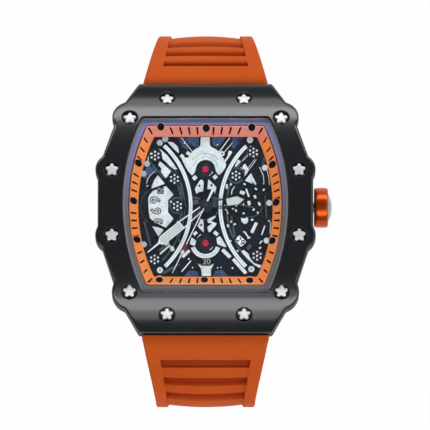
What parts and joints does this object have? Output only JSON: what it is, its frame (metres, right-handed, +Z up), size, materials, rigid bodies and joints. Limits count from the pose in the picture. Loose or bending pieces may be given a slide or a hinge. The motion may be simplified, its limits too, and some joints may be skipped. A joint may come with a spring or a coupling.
{
  "type": "wristwatch",
  "caption": "Tonneau wristwatch with a screwed bezel, domed crystal, skeleton-style dial, orange crown and a rubber strap closed by a pin buckle.",
  "frame": {"origin": "on the flat underside of the closed strap, straight below the middle of the dial", "axes": "+Z up through the crystal, +Y towards 12 o'clock, +X towards the crown"},
  "size_m": [0.0472, 0.0754, 0.064],
  "materials": {
    "black_metal": "satin black coating",
    "back_steel": "brushed",
    "screw_steel": "polished",
    "crystal": "clear with a violet coating",
    "seal": "matte",
    "flange_orange": "satin orange",
    "mark_black": "satin",
    "dial_black": "dark blue-black",
    "relief_white": "pale, faintly green",
    "setting_dark": "satin",
    "ruby": "gloss",
    "brass": "polished",
    "movement_steel": "satin",
    "holder_plastic": "matte",
    "cell_steel": "satin",
    "board_green": "satin",
    "iron": "bare",
    "copper": "enamelled wire",
    "hand_white": "pale, faintly green",
    "date_white": "matte",
    "crown_orange": "gloss orange",
    "crown_silver": "polished",
    "strap_rubber": "matte orange",
    "buckle_black": "satin black coating"
  },
  "bodies": {
    "watch": {"bezel": "black_metal", "case_band": "black_metal", "case_back": "back_steel", "bezel_screws": "screw_steel", "case_back_screws": "screw_steel", "crystal": "crystal", "crystal_gasket": "seal", "bezel_gasket": "seal", "back_gasket": "seal", "crown_tube": "screw_steel", "movement_holder": "holder_plastic", "flange_ring": "flange_orange", "hour_dots": "mark_black", "dial_plate": "dial_black", "arc_bridge_left": "relief_white", "arc_bridge_right": "relief_white", "upper_bridge": "relief_white", "lower_bridge": "relief_white", "jewel_settings": "setting_dark", "jewels": "ruby", "dial_bearings": "setting_dark", "number_plate": "relief_white", "dial_studs": "relief_white", "date_window_frame": "relief_white", "main_plate": "movement_steel", "train_bridge": "movement_steel", "battery": "cell_steel", "battery_clamp": "movement_steel", "circuit_board": "board_green", "stator": "iron", "coil": "copper", "strap_six": "strap_rubber", "strap_twelve": "strap_rubber", "strap_bars": "screw_steel", "strap_bar_screws": "screw_steel", "buckle_spring_bar": "screw_steel", "fixed_keeper": "strap_rubber"},
    "crown_slide": {"setting_lever": "movement_steel"},
    "crown": {"stem": "movement_steel", "clutch_wheel": "movement_steel", "crown_body": "crown_orange", "crown_cap": "crown_silver", "crown_gasket": "seal"},
    "date": {"date_ring": "date_white"},
    "minutes": {"minute_hand": "hand_white", "cannon_pinion": "brass"},
    "hours": {"hour_hand": "hand_white", "hour_wheel": "brass"},
    "motion_wheel": {"minute_wheel": "brass"},
    "seconds": {"seconds_hand": "hand_white", "hand_cap": "screw_steel", "seconds_wheel": "brass"},
    "centre": {"centre_wheel": "brass"},
    "third": {"third_wheel": "brass"},
    "fifth": {"fifth_wheel": "brass"},
    "rotor": {"motor_rotor": "iron"},
    "buckle": {"buckle_frame": "buckle_black"},
    "tongue": {"buckle_tongue": "buckle_black"},
    "loose_keeper": {"sliding_keeper": "strap_rubber"}
  },
  "joints": [
    {"name": "crown_pull", "type": "slide", "parent": "watch", "child": "crown_slide", "axis": [1, 0, 0], "range_m": [0, 0.0012]},
    {"name": "crown_turn", "type": "hinge", "parent": "crown_slide", "child": "crown", "pos_m": [0.0217, 0, 0.0571], "axis": [1, 0, 0], "continuous": true},
    {"name": "date_ring_turn", "type": "hinge", "parent": "watch", "child": "date", "pos_m": [0, 0, 0.0579], "axis": [0, 0, -1], "continuous": true},
    {"name": "minute_hand_turn", "type": "hinge", "parent": "watch", "child": "minutes", "pos_m": [0, 0, 0.05965], "axis": [0, 0, -1], "continuous": true},
    {"name": "hour_hand_turn", "type": "hinge", "parent": "watch", "child": "hours", "pos_m": [0, 0, 0.0591], "axis": [0, 0, -1], "continuous": true},
    {"name": "minute_wheel_turn", "type": "hinge", "parent": "watch", "child": "motion_wheel", "pos_m": [0.0015, 0.0026, 0.0576], "axis": [0, 0, -1], "continuous": true},
    {"name": "seconds_hand_turn", "type": "hinge", "parent": "watch", "child": "seconds", "pos_m": [0, 0, 0.0602], "axis": [0, 0, -1], "continuous": true},
    {"name": "centre_wheel_turn", "type": "hinge", "parent": "watch", "child": "centre", "pos_m": [0, 0, 0.0557], "axis": [0, 0, -1], "continuous": true},
    {"name": "third_wheel_turn", "type": "hinge", "parent": "watch", "child": "third", "pos_m": [-0.00338, -0.00123, 0.0557], "axis": [0, 0, -1], "continuous": true},
    {"name": "fifth_wheel_turn", "type": "hinge", "parent": "watch", "child": "fifth", "pos_m": [0.00283, -0.00238, 0.0557], "axis": [0, 0, -1], "continuous": true},
    {"name": "rotor_turn", "type": "hinge", "parent": "watch", "child": "rotor", "pos_m": [0.00528, -0.00238, 0.0557], "axis": [0, 0, -1], "continuous": true},
    {"name": "buckle_swing", "type": "hinge", "parent": "watch", "child": "buckle", "pos_m": [0, 0.02171, 0.01464], "axis": [1, 0, 0], "range_deg": [0, 10]},
    {"name": "tongue_swing", "type": "hinge", "parent": "buckle", "child": "tongue", "pos_m": [0, 0.02171, 0.01464], "axis": [1, 0, 0], "range_deg": [0, 7]},
    {"name": "keeper_slide", "type": "slide", "parent": "watch", "child": "loose_keeper", "axis": [0, 0.6428, 0.766], "range_m": [-0.001, 0.0045]}
  ],
  "couplings": [
    {"joint": "hour_hand_turn", "follows": "minute_hand_turn", "ratio": 0.083333},
    {"joint": "minute_wheel_turn", "follows": "minute_hand_turn", "ratio": -0.33333},
    {"joint": "third_wheel_turn", "follows": "seconds_hand_turn", "ratio": -0.13333},
    {"joint": "centre_wheel_turn", "follows": "seconds_hand_turn", "ratio": 0.016667},
    {"joint": "fifth_wheel_turn", "follows": "seconds_hand_turn", "ratio": -5},
    {"joint": "rotor_turn", "follows": "seconds_hand_turn", "ratio": 30}
  ]
}
